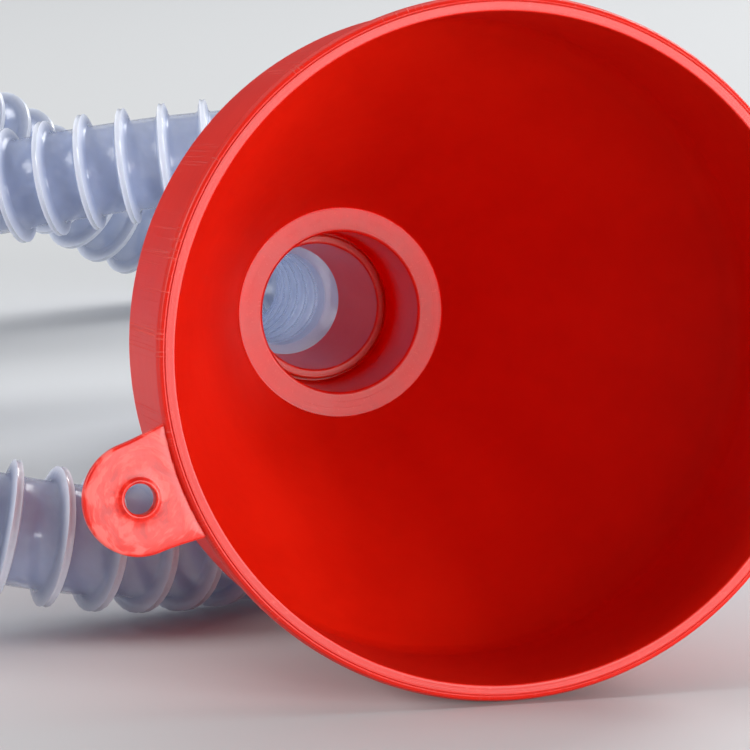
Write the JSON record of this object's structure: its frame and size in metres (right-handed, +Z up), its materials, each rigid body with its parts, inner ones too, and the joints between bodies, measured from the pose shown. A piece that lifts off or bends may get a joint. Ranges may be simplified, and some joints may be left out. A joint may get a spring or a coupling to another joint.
{
  "type": "funnel with corrugated hose",
  "caption": "Plastic filling funnel with a wide banded mouth, a hanging tab and a stepped throat, with a long corrugated hose pushed onto its spout.",
  "frame": {"origin": "under the middle of the funnel's own bounding box, on the bench", "axes": "+Z up from the bench, the mouth faces -Y and leans up by 5.5 degrees, the spout points to +Y"},
  "size_m": [0.4083, 0.5078, 0.1349],
  "materials": {
    "red_plastic": "glossy injection-moulded surface with fine scratches",
    "hose_plastic": "milky, slightly see-through, with raised rings"
  },
  "bodies": {
    "hose": {"hose_inlet_cuff": "hose_plastic", "hose_span_1": "hose_plastic", "hose_span_2": "hose_plastic", "hose_span_3": "hose_plastic", "hose_span_4": "hose_plastic", "hose_span_5": "hose_plastic", "hose_outlet_cuff": "hose_plastic"},
    "funnel": {"mouth_band": "red_plastic", "bowl_cone": "red_plastic", "throat_socket": "red_plastic", "spout_tube": "red_plastic", "hang_tab": "red_plastic"}
  },
  "joints": [
    {"name": "spout_slide", "type": "slide", "parent": "hose", "child": "funnel", "axis": [0, -0.9954, 0.0958], "range_m": [0, 0.023]}
  ]
}
